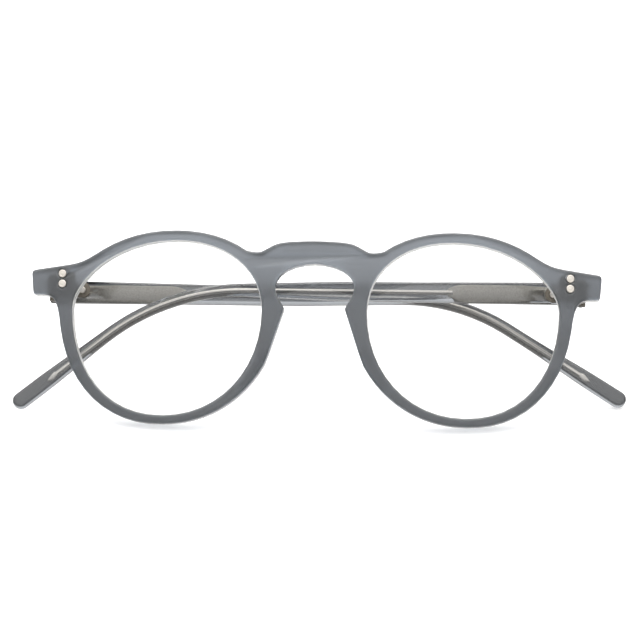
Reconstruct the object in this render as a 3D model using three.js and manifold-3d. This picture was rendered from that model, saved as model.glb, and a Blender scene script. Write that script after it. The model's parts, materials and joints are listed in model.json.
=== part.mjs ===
// Eyeglass frame: a round keyhole front in smoke-grey acetate with two riveted, folding temples.
// Millimetres, +Z up. The frame stands as it does on a table, leaning back on its rims and a
// temple tip, with both temples folded behind the front. The front faces -Y.
import * as THREE from 'three';
import { mergeVertices } from 'three/addons/utils/BufferGeometryUtils.js';
import Module from 'manifold-3d';

const wasm = await Module();
wasm.setup();

// Lens openings
const lensWidth = 48.2;
const lensHeight = 44.1;
const bridgeGap = 26.6;
const grooveDepth = 0.7;
const grooveWidth = 1.5;

// Rims: widths of the front face at four places round each lens
const rimTop = 2.65;
const rimTemporal = 3.6;
const rimBottom = 2.3;
const rimNasal = 5.2;

// Front sheet
const frontThickness = 5.2;
const frontEdge = 0.45;
const wrapRadius = 350;

// Keyhole bridge
const bridgeDrop = 2.6;
const bridgeHeight = 5.85;
const bridgeDip = 2.9;
const dipInset = 0.9;
const keyholeWidth = 19.9;
const crownHeight = 5.65;
const throatHeight = 5.6;
const waistWidth = 15.2;

// End pieces
const endPieceLength = 10.9;
const endPieceDrop = 9.95;
const endPieceHeight = 6.4;
const endPieceThickness = 6;
const endPieceFall = 1.8;
const endPieceDraft = 0.5;
const endCornerRadius = 1;

// Nose pads, glued on behind the nasal rims
const padDepth = 3.2;
const padEdge = 0.9;

// Hinges: five knuckles, three on the front leaf and two on the temple leaf
const pantoscopicAngle = THREE.MathUtils.degToRad(8);
const crossAngle = THREE.MathUtils.degToRad(0.15);
const hingeDrop = 4.1;
const knuckleCount = 5;
const knuckleHeight = 1.15;
const knuckleGap = 0.15;
const barrelRadius = 1.3;
const barrelReach = 4.4;
const barrelStandoff = 2;
const leafThickness = 1;
const frontLeafLength = 4.6;
const frontLeafHeight = 6.6;
const templeLeafLength = 9;
const templeLeafHeight = 4.2;
const leafCorner = 0.8;

// Screws and rivets
const screwRadius = 0.6;
const screwHeadRadius = 1.05;
const screwHeadHeight = 0.6;
const screwTail = 0.25;
const rivetRadius = 0.6;
const rivetHeadRadius = 1;
const rivetHeadDepth = 0.5;
const rivetDome = 0.15;
const rivetTailRadius = 0.9;
const rivetTailHeight = 0.3;
const rivetInset = 8.1;
const frontRivetPitch = 2.55;
const frontRivetDrop = 1.05;
const templeRivetStart = 3.9;
const templeRivetPitch = 3;

// Temples: length along the middle line from the hinge pin, and each one's own rise over the
// hinge and bend for the ear
const templeLength = 153;
const templeThickness = 2.7;
const templeInset = 0.6;
const templeEdge = 0.7;
const buttHeight = 5.9;
const middleHeight = 4.85;
const bendHeight = 3.3;
const slimHeight = 3.05;
const tipHeight = 4.2;
const leftBend = { rise: 0.5, start: 85.8, radius: 55.5, drop: THREE.MathUtils.degToRad(38.9) };
const rightBend = { rise: -0.43, start: 89.4, radius: 50.4, drop: THREE.MathUtils.degToRad(32.2) };

// Temple cores: a plate behind the hinge that runs out into a wire with a spear point
const coreThickness = 0.7;
const corePlateHeight = 4;
const corePlateEnd = 34;
const corePlateTaper = 5;
const coreWireHeight = 1.3;
const coreSpearHeight = 2;
const coreSpearLength = 5;
const coreEndSetback = 10.5;

// Clearances
const runningGap = 0.06;
const seatGap = 0.15;
const swingGap = 0.3;
const foldGap = 0.32;
const rimGap = 0.4;
const cutOverrun = 1;

// Smoothness of curves, in steps
const quarterSteps = 12;
const holeSteps = 12;
const cornerSteps = 3;
const edgeSteps = 2;
const roundSides = 16;
const bendSteps = 9;

// Worked-out places, in the plane of the front: x across, z up from the middle of the lenses
const lensX = bridgeGap / 2 + lensWidth / 2;
const lensOuterX = bridgeGap / 2 + lensWidth;
const frontHalfWidth = lensOuterX + endPieceLength;
const rimTopZ = lensHeight / 2 + rimTop;
const bridgeTopZ = rimTopZ - bridgeDrop;
const keyholeTopZ = bridgeTopZ - bridgeHeight;
const keyholeWideZ = keyholeTopZ - crownHeight;
const waistZ = keyholeWideZ - throatHeight;
const endTopZ = rimTopZ - endPieceDrop;
const endBottomZ = endTopZ - endPieceHeight;
const hingeZ = endTopZ - hingeDrop;
const rivetX = frontHalfWidth - rivetInset;
const rivetUpperZ = endTopZ - frontRivetDrop;
const rivetMiddleZ = rivetUpperZ - frontRivetPitch / 2;
const wrapAngle = Math.asin(rivetX / wrapRadius);
const stackHeight = knuckleCount * knuckleHeight + (knuckleCount - 1) * knuckleGap;

// Depth of the curved front face behind its middle
function wrapDepth(x) {
  return (x * x) / (2 * wrapRadius);
}

// The hinge pin's middle, out along the end piece from the rivets and back from its face
const pinDepth = endPieceThickness + barrelStandoff;
const pinX = rivetX + barrelReach * Math.cos(wrapAngle) - pinDepth * Math.sin(wrapAngle);
const pinY = wrapDepth(rivetX) + barrelReach * Math.sin(wrapAngle) + pinDepth * Math.cos(wrapAngle);

// Solids: closed meshes go to the boolean library and come back as geometry
function toSolid(geometry) {
  const bare = geometry.clone();
  bare.deleteAttribute('normal');
  bare.deleteAttribute('uv');
  const merged = mergeVertices(bare);
  const vertProperties = new Float32Array(merged.attributes.position.array);
  const triVerts = new Uint32Array(merged.index.array);
  return new wasm.Manifold(new wasm.Mesh({ numProp: 3, vertProperties, triVerts }));
}

function toGeometry(solid) {
  const mesh = solid.getMesh();
  const geometry = new THREE.BufferGeometry();
  geometry.setAttribute('position', new THREE.BufferAttribute(mesh.vertProperties, 3));
  geometry.setIndex(new THREE.BufferAttribute(mesh.triVerts, 1));
  geometry.computeVertexNormals();
  return geometry;
}

function cut(body, tools) {
  let solid = toSolid(body);
  for (const tool of tools) {
    solid = solid.subtract(toSolid(tool));
  }
  return toGeometry(solid);
}

function join(pieces) {
  let solid = toSolid(pieces[0]);
  for (const piece of pieces.slice(1)) {
    solid = solid.add(toSolid(piece));
  }
  return toGeometry(solid);
}

// A copy reflected across the plane x = 0 or y = 0, with its triangles turned to face out again
function mirrored(geometry, axis) {
  const flat = geometry.index ? geometry.toNonIndexed() : geometry.clone();
  flat.scale(axis === 'x' ? -1 : 1, axis === 'y' ? -1 : 1, 1);
  const place = flat.attributes.position;
  const first = new THREE.Vector3();
  const last = new THREE.Vector3();
  for (let corner = 0; corner < place.count; corner += 3) {
    first.fromBufferAttribute(place, corner);
    last.fromBufferAttribute(place, corner + 2);
    place.setXYZ(corner, last.x, last.y, last.z);
    place.setXYZ(corner + 2, first.x, first.y, first.z);
  }
  flat.computeVertexNormals();
  return flat;
}

// An upright plate with its outline in x and z, from y = 0 back to its depth, edges rounded
function plate(shape, depth, edge = 0) {
  const geometry = new THREE.ExtrudeGeometry(shape, {
    depth: depth - 2 * edge,
    bevelEnabled: edge > 0,
    bevelThickness: edge,
    bevelSize: edge,
    bevelOffset: -edge,
    bevelSegments: edgeSteps,
    steps: 1,
  });
  return geometry.rotateX(Math.PI / 2).translate(0, depth - edge, 0);
}

// The same plate, grown all round by a clearance
function grownPlate(shape, depth, clearance) {
  const geometry = new THREE.ExtrudeGeometry(shape, {
    depth,
    bevelThickness: clearance,
    bevelSize: 0,
    bevelOffset: clearance,
    bevelSegments: 1,
    steps: 1,
  });
  return geometry.rotateX(Math.PI / 2).translate(0, depth, 0);
}

function block(fromX, toX, fromY, toY, fromZ, toZ) {
  const box = new THREE.BoxGeometry(toX - fromX, toY - fromY, toZ - fromZ);
  return box.translate((fromX + toX) / 2, (fromY + toY) / 2, (fromZ + toZ) / 2);
}

function uprightCylinder(radius, fromZ, toZ) {
  const cylinder = new THREE.CylinderGeometry(radius, radius, toZ - fromZ, roundSides);
  return cylinder.rotateX(Math.PI / 2).translate(0, 0, (fromZ + toZ) / 2);
}

// Bends a flat plate back on both sides to the wrap of the front
function wrapped(geometry) {
  const place = geometry.attributes.position;
  for (let corner = 0; corner < place.count; corner += 1) {
    place.setY(corner, place.getY(corner) + wrapDepth(place.getX(corner)));
  }
  geometry.computeVertexNormals();
  return geometry;
}

// Lens outline of the side with positive x: four curves between its nasal, top, temporal and
// bottom points. Places and handles are shares of half the lens width and half its height.
const nasalHeightShare = 0.2;
const topOffsetShare = -0.095;
const temporalHeightShare = 0.235;
const bottomOffsetShare = 0.03;
const handleShares = {
  nasalUp: 0.46,
  topNasal: 0.54,
  topTemporal: 0.68,
  temporalUp: 0.27,
  temporalDown: 0.74,
  bottomTemporal: 0.59,
  bottomNasal: 0.61,
  nasalDown: 0.67,
};
const lensEnd = new THREE.Vector2(lensWidth / 2, lensHeight / 2);

function lensPoint(acrossShare, upShare) {
  return new THREE.Vector2(lensX + acrossShare * lensEnd.x, upShare * lensEnd.y);
}

const nasal = lensPoint(-1, nasalHeightShare);
const top = lensPoint(topOffsetShare, 1);
const temporal = lensPoint(1, temporalHeightShare);
const bottom = lensPoint(bottomOffsetShare, -1);

function shifted(point, acrossShare, upShare) {
  return new THREE.Vector2(point.x + acrossShare * lensEnd.x, point.y + upShare * lensEnd.y);
}

function quarter(from, fromHandle, to, toHandle, fromRim, toRim, power) {
  const curve = new THREE.CubicBezierCurve(from, fromHandle, toHandle, to);
  return { curve, fromRim, toRim, power };
}

const upperNasal = quarter(nasal, shifted(nasal, 0, handleShares.nasalUp), top,
  shifted(top, -handleShares.topNasal, 0), rimNasal, rimTop, 2);
const upperTemporal = quarter(top, shifted(top, handleShares.topTemporal, 0), temporal,
  shifted(temporal, 0, handleShares.temporalUp), rimTop, rimTemporal, 1);
const lowerTemporal = quarter(temporal, shifted(temporal, 0, -handleShares.temporalDown), bottom,
  shifted(bottom, handleShares.bottomTemporal, 0), rimTemporal, rimBottom, 1);
const lowerNasal = quarter(nasal, shifted(nasal, 0, -handleShares.nasalDown), bottom,
  shifted(bottom, -handleShares.bottomNasal, 0), rimNasal, rimBottom, 2);

// A point on the rim beside the lens, away from it by a share of the rim's local width
function rimPoint(side, along, widthShare = 1) {
  const point = side.curve.getPoint(along);
  const tangent = side.curve.getTangent(along);
  const outward = side === lowerNasal ? -1 : 1;
  const fade = (1 - along) ** side.power;
  const width = (side.toRim + (side.fromRim - side.toRim) * fade) * widthShare;
  return new THREE.Vector2(point.x - outward * tangent.y * width, point.y + outward * tangent.x * width);
}

function rimRun(side, from, to, steps, widthShare = 1) {
  const points = [];
  for (let step = 0; step <= steps; step += 1) {
    points.push(rimPoint(side, from + ((to - from) * step) / steps, widthShare));
  }
  return points;
}

// Where the rim's outline leaves the bridge, meets the end piece, and turns up to the keyhole
const bridgeRimShare = 0.5;
const endTopRimShare = 0.42;
const endBottomRimShare = 0.1;
const flankRimShare = 0.3;

// The bridge's top edge from the middle to the dip: shares of its run and of its dip
const bridgeTopShares = [[0, 0], [0.37, 0.05], [0.66, 0.23], [0.85, 0.68], [1, 1]];
const dipX = bridgeGap / 2 + dipInset;

function bridgeTop() {
  const points = bridgeTopShares.map(
    ([run, fall]) => new THREE.Vector2(run * dipX, bridgeTopZ - fall * bridgeDip),
  );
  points.push(rimPoint(upperNasal, bridgeRimShare));
  return new THREE.SplineCurve(points).getPoints(quarterSteps).slice(0, -1);
}

function bezier(points, steps) {
  return new THREE.CubicBezierCurve(...points).getPoints(steps);
}

// The end piece's outline, from the upper rim round its corners to the lower rim
const endNeckShare = 0.22;
const endNeckReach = 0.45;
const endSwellShare = 0.6;

function endPiece() {
  const neck = new THREE.Vector2(lensOuterX - endPieceLength * endNeckShare, endTopZ + endPieceFall);
  const upper = new THREE.Vector2(frontHalfWidth, endTopZ);
  const lower = new THREE.Vector2(frontHalfWidth - endPieceDraft, endBottomZ);
  const inner = new THREE.Vector2(rivetX + (upper.x - rivetX) * endSwellShare, endBottomZ);
  const rimEnd = rimPoint(upperTemporal, endTopRimShare);
  const neckTangent = upperTemporal.curve.getTangent(endTopRimShare).setLength(endPieceHeight);
  const sweep = bezier([
    rimEnd,
    new THREE.Vector2().addVectors(rimEnd, neckTangent),
    neck,
    new THREE.Vector2().lerpVectors(neck, upper, endNeckReach),
  ], 2 * cornerSteps);
  const rim = rimPoint(lowerTemporal, endBottomRimShare);
  const corner = (at, before, after) => {
    const start = new THREE.Vector2().subVectors(before, at).setLength(endCornerRadius).add(at);
    const end = new THREE.Vector2().subVectors(after, at).setLength(endCornerRadius).add(at);
    return new THREE.QuadraticBezierCurve(start, at, end).getPoints(cornerSteps);
  };
  const rimTangent = lowerTemporal.curve.getTangent(endBottomRimShare).setLength(endPieceHeight);
  const bend = bezier([
    inner,
    new THREE.Vector2(rivetX + endPieceFall, endBottomZ),
    new THREE.Vector2().subVectors(rim, rimTangent),
    rim,
  ], 2 * cornerSteps);
  const corners = [...corner(upper, neck, lower), ...corner(lower, upper, inner)];
  return [...sweep.slice(1), ...corners, ...bend.slice(0, -1)];
}

// The keyhole, from the nasal rim up through its lips and crown to the middle
const lipShare = 0.4;

function keyhole() {
  const flank = rimPoint(lowerNasal, flankRimShare);
  const flankTangent = lowerNasal.curve.getTangent(flankRimShare).setLength(throatHeight / 2);
  const waist = new THREE.Vector2(waistWidth / 2, waistZ);
  const wide = new THREE.Vector2(keyholeWidth / 2, keyholeWideZ);
  const reach = throatHeight / 2;
  const rise = bezier([
    flank,
    new THREE.Vector2().subVectors(flank, flankTangent),
    new THREE.Vector2().lerpVectors(waist, flank, lipShare),
    waist,
  ], cornerSteps);
  const throat = bezier([
    waist,
    new THREE.Vector2().lerpVectors(waist, wide, lipShare),
    new THREE.Vector2(wide.x, wide.y - reach),
    wide,
  ], 2 * cornerSteps);
  const crown = new THREE.EllipseCurve(0, keyholeWideZ, wide.x, crownHeight, 0, Math.PI / 2);
  return [...rise.slice(1), ...throat.slice(1), ...crown.getPoints(quarterSteps / 2).slice(1)];
}

function frontOutline() {
  const half = [
    ...bridgeTop(),
    ...rimRun(upperNasal, bridgeRimShare, 1, quarterSteps / 2).slice(0, -1),
    ...rimRun(upperTemporal, 0, endTopRimShare, quarterSteps / 2),
    ...endPiece(),
    ...rimRun(lowerTemporal, endBottomRimShare, 1, quarterSteps).slice(0, -1),
    ...rimRun(lowerNasal, 1, flankRimShare, quarterSteps),
    ...keyhole(),
  ];
  const otherHalf = half.slice(1, -1).reverse().map((point) => new THREE.Vector2(-point.x, point.y));
  return [...half, ...otherHalf].reverse();
}

function lensOutline(side) {
  const points = [
    ...upperNasal.curve.getPoints(holeSteps).slice(0, -1),
    ...upperTemporal.curve.getPoints(holeSteps).slice(0, -1),
    ...lowerTemporal.curve.getPoints(holeSteps).slice(0, -1),
    ...lowerNasal.curve.getPoints(holeSteps).reverse().slice(0, -1),
  ];
  return points.map((point) => new THREE.Vector2(side * point.x, point.y));
}

// Places a piece of one end piece, given along its face and back from it, in the front
function onEndPiece(geometry, side) {
  geometry.rotateZ(wrapAngle).translate(rivetX, wrapDepth(rivetX), 0);
  return side > 0 ? geometry : mirrored(geometry, 'x');
}

// A rivet with its head at y = 0, as a turned profile of radius against depth
function rivetGeometry(gripDepth) {
  const profile = [
    [0, -rivetDome],
    [rivetHeadRadius * Math.SQRT1_2, -rivetDome * Math.SQRT1_2],
    [rivetHeadRadius, 0],
    [rivetHeadRadius, rivetHeadDepth],
    [rivetRadius, rivetHeadDepth],
    [rivetRadius, gripDepth],
    [rivetTailRadius, gripDepth],
    [rivetTailRadius * Math.SQRT1_2, gripDepth + rivetTailHeight],
    [0, gripDepth + rivetTailHeight],
  ];
  const points = profile.map(([radius, depth]) => new THREE.Vector2(radius, depth));
  return new THREE.LatheGeometry(points, roundSides);
}

// The drill for a rivet: a bore with a wider seat for the head
function rivetDrill(depth) {
  const bore = rivetRadius + seatGap;
  const seat = rivetHeadRadius + seatGap;
  const seatDepth = rivetHeadDepth + seatGap;
  const profile = [
    [0, -cutOverrun],
    [seat, -cutOverrun],
    [seat, seatDepth],
    [bore, seatDepth],
    [bore, depth],
    [0, depth],
  ];
  const points = profile.map(([radius, along]) => new THREE.Vector2(radius, along));
  return new THREE.LatheGeometry(points, roundSides);
}

// A plain bore for a rivet, reaching the same way before and behind y = 0
function rivetBore(x, z, reach) {
  const radius = rivetRadius + seatGap;
  return new THREE.CylinderGeometry(radius, radius, 2 * reach, roundSides).translate(x, 0, z);
}

const frontRivetHeights = [rivetUpperZ, rivetUpperZ - frontRivetPitch];

function frontDrills(side) {
  const depth = endPieceThickness + leafThickness + 2 * cutOverrun;
  return frontRivetHeights.map((z) => onEndPiece(rivetDrill(depth).translate(0, 0, z), side));
}

// The thicker block behind each end piece, inside the outline of its face
function endBlock(side) {
  const innerX = lensOuterX + rimTemporal / 2;
  const outline = endPiece().slice(1).filter((point) => point.x > lensOuterX + rimTemporal + frontEdge);
  const lowZ = outline[outline.length - 1].y;
  const inner = [new THREE.Vector2(innerX, lowZ), new THREE.Vector2(innerX, endTopZ + frontEdge)];
  const geometry = wrapped(plate(new THREE.Shape([...outline, ...inner]), endPieceThickness, frontEdge));
  return side > 0 ? geometry : mirrored(geometry, 'x');
}

// Seats for the lenses: a vee groove round each opening
function grooveTool(side) {
  const undercut = frontEdge / 2;
  const geometry = new THREE.ExtrudeGeometry(new THREE.Shape(lensOutline(side)), {
    depth: grooveWidth / 4,
    bevelThickness: (grooveWidth * 3) / 8,
    bevelSize: grooveDepth + undercut,
    bevelOffset: -undercut,
    bevelSegments: 1,
    steps: 1,
  });
  const middle = frontThickness / 2 + grooveWidth / 8;
  return wrapped(geometry.rotateX(Math.PI / 2).translate(0, middle, 0));
}

function frontGeometry() {
  const shape = new THREE.Shape(frontOutline());
  shape.holes.push(new THREE.Path(lensOutline(1)), new THREE.Path(lensOutline(-1)));
  const sheet = wrapped(plate(shape, frontThickness, frontEdge));
  const body = join([sheet, endBlock(1), endBlock(-1)]);
  const tools = [grooveTool(1), grooveTool(-1), ...frontDrills(1), ...frontDrills(-1)];
  return cut(body, tools);
}

// An outline that follows a middle line with a half height at each place, with round ends
function ribbon(places) {
  const upper = [];
  const lower = [];
  for (const { point, tangent, half } of places) {
    upper.push(new THREE.Vector2(point.x - tangent.y * half, point.y + tangent.x * half));
    lower.unshift(new THREE.Vector2(point.x + tangent.y * half, point.y - tangent.x * half));
  }
  return new THREE.Shape([...upper, ...lower]);
}

// Half heights that swell from nothing to full in a quarter circle at both ends
function roundedEnds(places, radius) {
  const first = places[0].point;
  const last = places[places.length - 1].point;
  return places.map((place) => {
    const near = Math.min(place.point.distanceTo(first), place.point.distanceTo(last), radius);
    const round = Math.sqrt(Math.max(radius * radius - (radius - near) ** 2, 0));
    return { ...place, half: Math.min(place.half, round + padEdge) };
  });
}

// Nose pads sit on the back of the lower nasal rims
const padFromShare = 0.2;
const padToShare = 0.5;
const padWidthShare = 0.36;

function padGeometry(side) {
  const places = [];
  for (let step = 0; step <= quarterSteps; step += 1) {
    const along = padFromShare + ((padToShare - padFromShare) * step) / quarterSteps;
    const point = rimPoint(lowerNasal, along, 1 / 2);
    const tangent = lowerNasal.curve.getTangent(along);
    const half = rimPoint(lowerNasal, along).distanceTo(lowerNasal.curve.getPoint(along)) * padWidthShare;
    places.push({ point, tangent, half });
  }
  const shape = ribbon(roundedEnds(places, places[0].half));
  const geometry = wrapped(plate(shape, padDepth, padEdge)).translate(0, frontThickness + seatGap, 0);
  return side > 0 ? geometry : mirrored(geometry, 'x');
}

// Heights of the knuckles along the pin, from the lowest up; even ones are the front's
function knuckleBottom(index) {
  return -stackHeight / 2 + index * (knuckleHeight + knuckleGap);
}

function knuckle(index, webFromX, webToX, webFromY, webToY) {
  const low = knuckleBottom(index);
  const high = low + knuckleHeight;
  const barrel = uprightCylinder(barrelRadius, low, high);
  return [barrel, block(webFromX, webToX, webFromY, webToY, low, high)];
}

function pinBore() {
  return uprightCylinder(screwRadius + runningGap, -stackHeight, stackHeight);
}

// Turns pieces made about an upright pin to the tilt of the hinge on the front
function tiltedToFront(geometry) {
  return geometry.rotateX(-pantoscopicAngle).translate(pinX, pinY, hingeZ);
}

function frontLeafGeometry(side) {
  const outer = barrelReach - barrelRadius - swingGap;
  const middleZ = (hingeZ + rivetMiddleZ) / 2;
  const shape = roundedRectangle(outer - frontLeafLength, outer, middleZ - frontLeafHeight / 2,
    middleZ + frontLeafHeight / 2, leafCorner);
  const sheet = onEndPiece(plate(shape, leafThickness).translate(0, endPieceThickness + seatGap, 0), 1);
  const webNearY = -(barrelStandoff - leafThickness / 2);
  const parts = [sheet];
  for (let index = 0; index < knuckleCount; index += 2) {
    const webReach = barrelRadius + swingGap + leafCorner;
    for (const piece of knuckle(index, -webReach, 0, webNearY, -barrelRadius / 2)) {
      parts.push(tiltedToFront(piece.rotateZ(wrapAngle)));
    }
  }
  const boreReach = endPieceThickness + leafThickness + cutOverrun;
  const drills = frontRivetHeights.map((z) => onEndPiece(rivetBore(0, z, boreReach), 1));
  const geometry = cut(join(parts), [tiltedToFront(pinBore()), ...drills]);
  return side > 0 ? geometry : mirrored(geometry, 'x');
}

function roundedRectangle(fromX, toX, fromZ, toZ, radius) {
  const shape = new THREE.Shape();
  shape.moveTo(fromX + radius, fromZ);
  shape.lineTo(toX - radius, fromZ);
  shape.absarc(toX - radius, fromZ + radius, radius, -Math.PI / 2, 0);
  shape.lineTo(toX, toZ - radius);
  shape.absarc(toX - radius, toZ - radius, radius, 0, Math.PI / 2);
  shape.lineTo(fromX + radius, toZ);
  shape.absarc(fromX + radius, toZ - radius, radius, Math.PI / 2, Math.PI);
  shape.lineTo(fromX, fromZ + radius);
  shape.absarc(fromX + radius, fromZ + radius, radius, Math.PI, (3 * Math.PI) / 2);
  return new THREE.Shape(shape.getPoints(cornerSteps));
}

// A rivet's places are along the end piece; its grip runs through the front and the leaf
function frontRivetGeometry(side, index) {
  const grip = endPieceThickness + seatGap + leafThickness + seatGap;
  const geometry = rivetGeometry(grip).translate(0, 0, frontRivetHeights[index]);
  return onEndPiece(geometry, side);
}

function screwGeometry(side) {
  const topZ = stackHeight / 2 + knuckleGap;
  const profile = [
    [0, -stackHeight / 2 - screwTail],
    [screwRadius, -stackHeight / 2 - screwTail],
    [screwRadius, topZ],
    [screwHeadRadius, topZ],
    [screwHeadRadius, topZ + screwHeadHeight / 2],
    [screwHeadRadius / 2, topZ + screwHeadHeight],
    [0, topZ + screwHeadHeight],
  ];
  const points = profile.map(([radius, z]) => new THREE.Vector2(radius, z));
  const screw = tiltedToFront(new THREE.LatheGeometry(points, roundSides).rotateX(Math.PI / 2));
  return side > 0 ? screw : mirrored(screw, 'x');
}

// Temples are made along +x from the pin, outer face towards -y, the ear bend falling in z
function templePlace(bend, along) {
  const arc = bend.radius * bend.drop;
  if (along <= bend.start) {
    return { point: new THREE.Vector2(along, bend.rise), tangent: new THREE.Vector2(1, 0) };
  }
  const turned = Math.min((along - bend.start) / bend.radius, bend.drop);
  const rest = Math.max(along - bend.start - arc, 0);
  const tangent = new THREE.Vector2(Math.cos(turned), -Math.sin(turned));
  const point = new THREE.Vector2(
    bend.start + bend.radius * Math.sin(turned) + rest * tangent.x,
    bend.rise - bend.radius * (1 - Math.cos(turned)) + rest * tangent.y,
  );
  return { point, tangent };
}

// Shares of the temple's length, each with the height there
const templeHeightShares = [
  [-0.05, buttHeight],
  [0.08, buttHeight - templeEdge / 3],
  [0.25, buttHeight - templeEdge],
  [0.42, middleHeight],
  [0.58, bendHeight],
  [0.8, slimHeight],
  [0.95, tipHeight],
  [1.1, tipHeight],
];

function eased(table, at) {
  let index = 1;
  while (index < table.length - 1 && table[index][0] < at) {
    index += 1;
  }
  const [from, before] = table[index - 1];
  const [to, after] = table[index];
  const share = THREE.MathUtils.clamp((at - from) / (to - from), 0, 1);
  return before + (after - before) * share;
}

// Places along the middle line where the outlines have points, thin on the straight part
const straightStopShares = [0.14, 0.45, 0.75, 1];

function stationsBetween(bend, from, to) {
  const arcEnd = bend.start + bend.radius * bend.drop;
  const stops = [from, ...straightStopShares.map((share) => bend.start * share)];
  for (let step = 1; step <= bendSteps; step += 1) {
    stops.push(bend.start + ((arcEnd - bend.start) * step) / bendSteps);
  }
  const kept = stops.filter((stop) => stop >= from && stop < to);
  return [...kept, to];
}

function templeShape(bend) {
  const endRadius = tipHeight / 2;
  const lastStraight = templeLength - endRadius;
  const stations = stationsBetween(bend, -barrelStandoff - 2 * swingGap, lastStraight);
  const places = stations.map((along) => ({
    ...templePlace(bend, along),
    half: eased(templeHeightShares, along / templeLength) / 2,
  }));
  const tip = places[places.length - 1];
  for (let step = 1; step < 2 * cornerSteps; step += 1) {
    const turn = (step / (2 * cornerSteps)) * (Math.PI / 2);
    const point = tip.tangent.clone().multiplyScalar(endRadius * Math.sin(turn)).add(tip.point);
    places.push({ point, tangent: tip.tangent, half: tip.half * Math.cos(turn) });
  }
  return ribbon(places);
}

const spearShoulderShare = 0.7;
const spearPointShare = 0.25;

function coreShape(bend, from) {
  const end = templeLength - coreEndSetback;
  const heights = [
    [from, corePlateHeight],
    [corePlateEnd - corePlateTaper, corePlateHeight],
    [corePlateEnd, coreWireHeight],
    [end - coreSpearLength, coreWireHeight],
    [end - coreSpearLength * spearShoulderShare, coreSpearHeight],
    [end, coreWireHeight * spearPointShare],
  ];
  const stops = new Set(stationsBetween(bend, from, end));
  for (const [along] of heights) {
    stops.add(along);
  }
  for (let step = 1; step <= cornerSteps; step += 1) {
    stops.add(corePlateEnd - (corePlateTaper * step) / (cornerSteps + 1));
  }
  const places = [...stops].sort((a, b) => a - b).map((along) => {
    let half = eased(heights, along) / 2;
    const intoTaper = (along - corePlateEnd + corePlateTaper) / corePlateTaper;
    if (intoTaper > 0 && intoTaper < 1) {
      const round = Math.sqrt(1 - intoTaper * intoTaper);
      half = (coreWireHeight + (corePlateHeight - coreWireHeight) * round) / 2;
    }
    return { ...templePlace(bend, along), half };
  });
  return ribbon(places);
}

// Depths in the temple, from its inner face out
const innerFaceY = -templeInset;
const outerFaceY = innerFaceY - templeThickness;
const coreInnerY = innerFaceY - leafThickness - 3 * seatGap;
const coreStart = barrelRadius + swingGap + seatGap;

// The end piece's back face as a cutter, in the place it takes when the temple is open
function buttCutter() {
  const reach = endPieceLength;
  const depth = barrelStandoff - swingGap;
  const cutter = block(-reach, reach, -reach - depth, -depth, -reach, reach).rotateZ(wrapAngle);
  const openPose = new THREE.Matrix4().makeRotationX(-pantoscopicAngle);
  openPose.multiply(new THREE.Matrix4().makeRotationZ(Math.PI / 2));
  return cutter.applyMatrix4(openPose.invert());
}

function templeLeafShape(from) {
  const half = templeLeafHeight / 2;
  const shape = new THREE.Shape();
  shape.moveTo(from, -half);
  shape.lineTo(templeLeafLength - half, -half);
  shape.absarc(templeLeafLength - half, 0, half, -Math.PI / 2, Math.PI / 2);
  shape.lineTo(from, half);
  return new THREE.Shape(shape.getPoints(2 * cornerSteps));
}

const templeRivetPlaces = [templeRivetStart, templeRivetStart + templeRivetPitch];

function templeGeometry(bend) {
  const body = plate(templeShape(bend), templeThickness, templeEdge).translate(0, outerFaceY, 0);
  const channel = grownPlate(coreShape(bend, -endPieceLength), coreThickness, seatGap);
  channel.translate(0, coreInnerY - coreThickness, 0);
  const leafDepth = leafThickness + seatGap;
  const pocket = grownPlate(templeLeafShape(-barrelStandoff - cutOverrun), leafDepth, seatGap);
  pocket.translate(0, innerFaceY - leafDepth + seatGap, 0);
  const notch = uprightCylinder(barrelRadius + swingGap, -stackHeight, stackHeight);
  const drills = templeRivetPlaces.map((x) => {
    const drill = rivetDrill(templeThickness + cutOverrun);
    return drill.translate(x, outerFaceY, 0);
  });
  return cut(body, [buttCutter(), channel, pocket, notch, ...drills]);
}

function templeBores() {
  const reach = templeInset + templeThickness + cutOverrun;
  return templeRivetPlaces.map((x) => rivetBore(x, 0, reach));
}

function coreGeometry(bend) {
  const sheet = plate(coreShape(bend, coreStart), coreThickness).translate(0, coreInnerY - coreThickness, 0);
  return cut(sheet, templeBores());
}

function templeLeafGeometry() {
  const sheet = plate(templeLeafShape(coreStart), leafThickness).translate(0, innerFaceY - leafThickness, 0);
  const parts = [sheet];
  for (let index = 1; index < knuckleCount; index += 2) {
    parts.push(...knuckle(index, 0, coreStart + leafCorner, innerFaceY - leafThickness, innerFaceY));
  }
  return cut(join(parts), [pinBore(), ...templeBores()]);
}

function templeRivetGeometry(index) {
  const grip = templeThickness + seatGap;
  return rivetGeometry(grip).translate(templeRivetPlaces[index], outerFaceY, 0);
}

// Folded rest: the left temple lies first, just clear of the other rim, and the right one on it
function reachDrop(bend, reach) {
  let along = reach;
  for (let pass = 0; pass < bendSteps; pass += 1) {
    along += reach - templePlace(bend, along).point.x;
  }
  return -templePlace(bend, along).point.y;
}

const crossReach = pinX + lensOuterX;
const crossShift = reachDrop(leftBend, crossReach) * Math.sin(pantoscopicAngle);
const roomAtRim = pinY + templeInset - crossShift - wrapDepth(lensOuterX) - frontThickness - rimGap;
const leftFold = Math.asin(roomAtRim / crossReach);
const restX = leftBend.start - pinX + buttHeight + slimHeight;
const leftBackY = templeThickness - (pinX + restX) * Math.sin(leftFold);
const rightFold = -Math.asin((leftBackY + foldGap) / (pinX - restX));

// Materials
const acetate = { color: '#9a9da2', roughness: 0.35, metalness: 0 };
const padAcetate = { color: '#a6a9ad', roughness: 0.4, metalness: 0 };
const nickel = { color: '#b9b4aa', roughness: 0.35, metalness: 0.9 };
const steel = { color: '#8d8a86', roughness: 0.3, metalness: 1 };
const core = { color: '#a39a8e', roughness: 0.45, metalness: 0.8 };

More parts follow.
